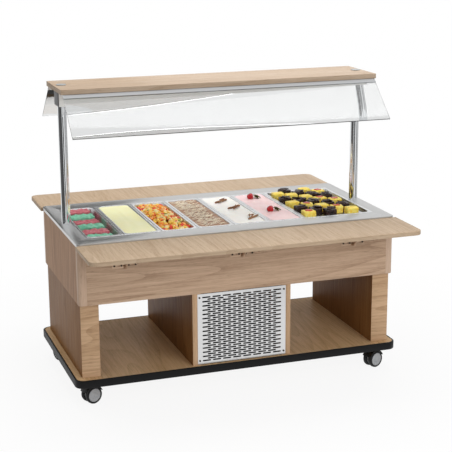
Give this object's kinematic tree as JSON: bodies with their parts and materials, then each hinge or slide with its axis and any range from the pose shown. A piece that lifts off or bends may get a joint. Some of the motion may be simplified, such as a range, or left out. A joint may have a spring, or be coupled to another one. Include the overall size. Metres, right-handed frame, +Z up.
{
  "type": "mobile salad bar",
  "caption": "Refrigerated salad bar on castors with lift-out food pans, fold-down tray boards and a lit canopy with clear sneeze guards.",
  "frame": {"origin": "on the floor, below the middle of the cabinet", "axes": "+Z up, +X along the length with the flat tray at that end, -Y towards the customers at the front"},
  "size_m": [1.461, 1.235, 1.312],
  "materials": {
    "oak_board": "matt",
    "black_rubber": "matt",
    "stainless": "brushed",
    "zinc_steel": "zinc plated",
    "foam": "matt foam",
    "copper": "drawn tube",
    "light_grey_plastic": "matt",
    "black_paint": "satin",
    "fin_aluminium": "plain",
    "black_plastic": "matt",
    "polished_steel": "polished",
    "grey_cap": "satin",
    "white_housing": "satin",
    "dark_grey_plastic": "matt",
    "opal": "opal",
    "clear_sheet": "clear",
    "anodised": "satin",
    "tyre_grey": "matt tread, grey discs"
  },
  "bodies": {
    "cabinet": {"base_board": "oak_board", "bumper_band": "black_rubber", "pedestals": "oak_board", "partitions": "oak_board", "grille_front": "stainless", "grille_rear": "stainless", "panel_screws": "zinc_steel", "apron_panels": "oak_board", "apron_corner_posts": "oak_board", "apron_floor": "oak_board", "worktop": "stainless", "well_walls": "stainless", "well_floor": "stainless", "well_insulation": "foam", "evaporator_coil": "copper", "drain_pipe": "light_grey_plastic", "unit_tray": "zinc_steel", "compressor": "black_paint", "condenser": "fin_aluminium", "fan_shroud": "zinc_steel", "fan_motor": "zinc_steel", "refrigerant_lines": "copper", "control_panel": "stainless", "control_box": "black_plastic", "power_inlet": "black_plastic", "canopy_posts": "polished_steel", "post_caps": "grey_cap", "canopy_shelf": "oak_board", "light_box_housing": "white_housing", "light_box_ends": "dark_grey_plastic", "light_diffuser": "opal", "lamp_tube": "opal", "sneeze_guards": "clear_sheet", "guard_clamps": "anodised", "bracket_leaves": "zinc_steel", "castor_plates": "zinc_steel"},
    "fan": {"fan_rotor": "black_plastic"},
    "knob": {"thermostat_knob": "black_plastic"},
    "rocker": {"light_rocker": "black_plastic"},
    "board_front": {"tray_board_front": "oak_board", "board_arms_front": "zinc_steel"},
    "board_rear": {"tray_board_rear": "oak_board", "board_arms_rear": "zinc_steel"},
    "struts_front": {"board_struts_front": "zinc_steel"},
    "struts_rear": {"board_struts_rear": "zinc_steel"},
    "castor_front_left": {"castor_housing_front_left": "dark_grey_plastic"},
    "wheels_front_left": {"castor_wheels_front_left": "tyre_grey"},
    "castor_front_right": {"castor_housing_front_right": "dark_grey_plastic"},
    "wheels_front_right": {"castor_wheels_front_right": "tyre_grey"},
    "castor_rear_left": {"castor_housing_rear_left": "dark_grey_plastic"},
    "wheels_rear_left": {"castor_wheels_rear_left": "tyre_grey"},
    "castor_rear_right": {"castor_housing_rear_right": "dark_grey_plastic"},
    "wheels_rear_right": {"castor_wheels_rear_right": "tyre_grey"},
    "food_pan_1": {"food_pan_1": "stainless"},
    "food_pan_2": {"food_pan_2": "stainless"},
    "food_pan_3": {"food_pan_3": "stainless"},
    "food_pan_4": {"food_pan_4": "stainless"},
    "food_pan_5": {"food_pan_5": "stainless"},
    "food_pan_6": {"food_pan_6": "stainless"},
    "food_tray": {"food_tray": "stainless"}
  },
  "joints": [
    {"name": "fan_spin", "type": "hinge", "parent": "cabinet", "child": "fan", "pos_m": [0, -0.234, 0.251], "axis": [0, 1, 0], "continuous": true},
    {"name": "thermostat_turn", "type": "hinge", "parent": "cabinet", "child": "knob", "pos_m": [0.072, 0.354, 0.405], "axis": [0, 1, 0], "range_deg": [0, 270]},
    {"name": "light_switch_tilt", "type": "hinge", "parent": "cabinet", "child": "rocker", "pos_m": [0.01, 0.3455, 0.405], "axis": [1, 0, 0], "range_deg": [-10, 10]},
    {"name": "tray_board_fold_front", "type": "hinge", "parent": "cabinet", "child": "board_front", "pos_m": [0, -0.368, 0.678], "axis": [1, 0, 0], "range_deg": [0, 90]},
    {"name": "strut_swing_front", "type": "hinge", "parent": "cabinet", "child": "struts_front", "pos_m": [0, -0.368, 0.603], "axis": [1, 0, 0], "range_deg": [0, 135]},
    {"name": "tray_board_fold_rear", "type": "hinge", "parent": "cabinet", "child": "board_rear", "pos_m": [0, 0.368, 0.678], "axis": [-1, 0, 0], "range_deg": [0, 90]},
    {"name": "strut_swing_rear", "type": "hinge", "parent": "cabinet", "child": "struts_rear", "pos_m": [0, 0.368, 0.603], "axis": [-1, 0, 0], "range_deg": [0, 135]},
    {"name": "castor_swivel_front_left", "type": "hinge", "parent": "cabinet", "child": "castor_front_left", "pos_m": [-0.669, -0.29, 0.09], "axis": [0, 0, 1], "continuous": true},
    {"name": "wheel_roll_front_left", "type": "hinge", "parent": "castor_front_left", "child": "wheels_front_left", "pos_m": [-0.65021, -0.28316, 0.0375], "axis": [-0.342, 0.9397, 0], "continuous": true},
    {"name": "castor_swivel_front_right", "type": "hinge", "parent": "cabinet", "child": "castor_front_right", "pos_m": [0.669, -0.29, 0.09], "axis": [0, 0, 1], "continuous": true},
    {"name": "wheel_roll_front_right", "type": "hinge", "parent": "castor_front_right", "child": "wheels_front_right", "pos_m": [0.65021, -0.29684, 0.0375], "axis": [0.342, -0.9397, 0], "continuous": true},
    {"name": "castor_swivel_rear_left", "type": "hinge", "parent": "cabinet", "child": "castor_rear_left", "pos_m": [-0.669, 0.29, 0.09], "axis": [0, 0, 1], "continuous": true},
    {"name": "wheel_roll_rear_left", "type": "hinge", "parent": "castor_rear_left", "child": "wheels_rear_left", "pos_m": [-0.66216, 0.27121, 0.0375], "axis": [0.9397, 0.342, 0], "continuous": true},
    {"name": "castor_swivel_rear_right", "type": "hinge", "parent": "cabinet", "child": "castor_rear_right", "pos_m": [0.669, 0.29, 0.09], "axis": [0, 0, 1], "continuous": true},
    {"name": "wheel_roll_rear_right", "type": "hinge", "parent": "castor_rear_right", "child": "wheels_rear_right", "pos_m": [0.67418, 0.30932, 0.0375], "axis": [-0.9659, 0.2588, 0], "continuous": true},
    {"name": "food_pan_1_lift", "type": "slide", "parent": "cabinet", "child": "food_pan_1", "axis": [0, 0, 1], "range_m": [0, 0.12]},
    {"name": "food_pan_2_lift", "type": "slide", "parent": "cabinet", "child": "food_pan_2", "axis": [0, 0, 1], "range_m": [0, 0.12]},
    {"name": "food_pan_3_lift", "type": "slide", "parent": "cabinet", "child": "food_pan_3", "axis": [0, 0, 1], "range_m": [0, 0.12]},
    {"name": "food_pan_4_lift", "type": "slide", "parent": "cabinet", "child": "food_pan_4", "axis": [0, 0, 1], "range_m": [0, 0.12]},
    {"name": "food_pan_5_lift", "type": "slide", "parent": "cabinet", "child": "food_pan_5", "axis": [0, 0, 1], "range_m": [0, 0.12]},
    {"name": "food_pan_6_lift", "type": "slide", "parent": "cabinet", "child": "food_pan_6", "axis": [0, 0, 1], "range_m": [0, 0.12]},
    {"name": "food_tray_lift", "type": "slide", "parent": "cabinet", "child": "food_tray", "axis": [0, 0, 1], "range_m": [0, 0.12]}
  ],
  "couplings": [
    {"joint": "strut_swing_front", "follows": "tray_board_fold_front", "ratio": 1.5},
    {"joint": "strut_swing_rear", "follows": "tray_board_fold_rear", "ratio": 1.5}
  ]
}
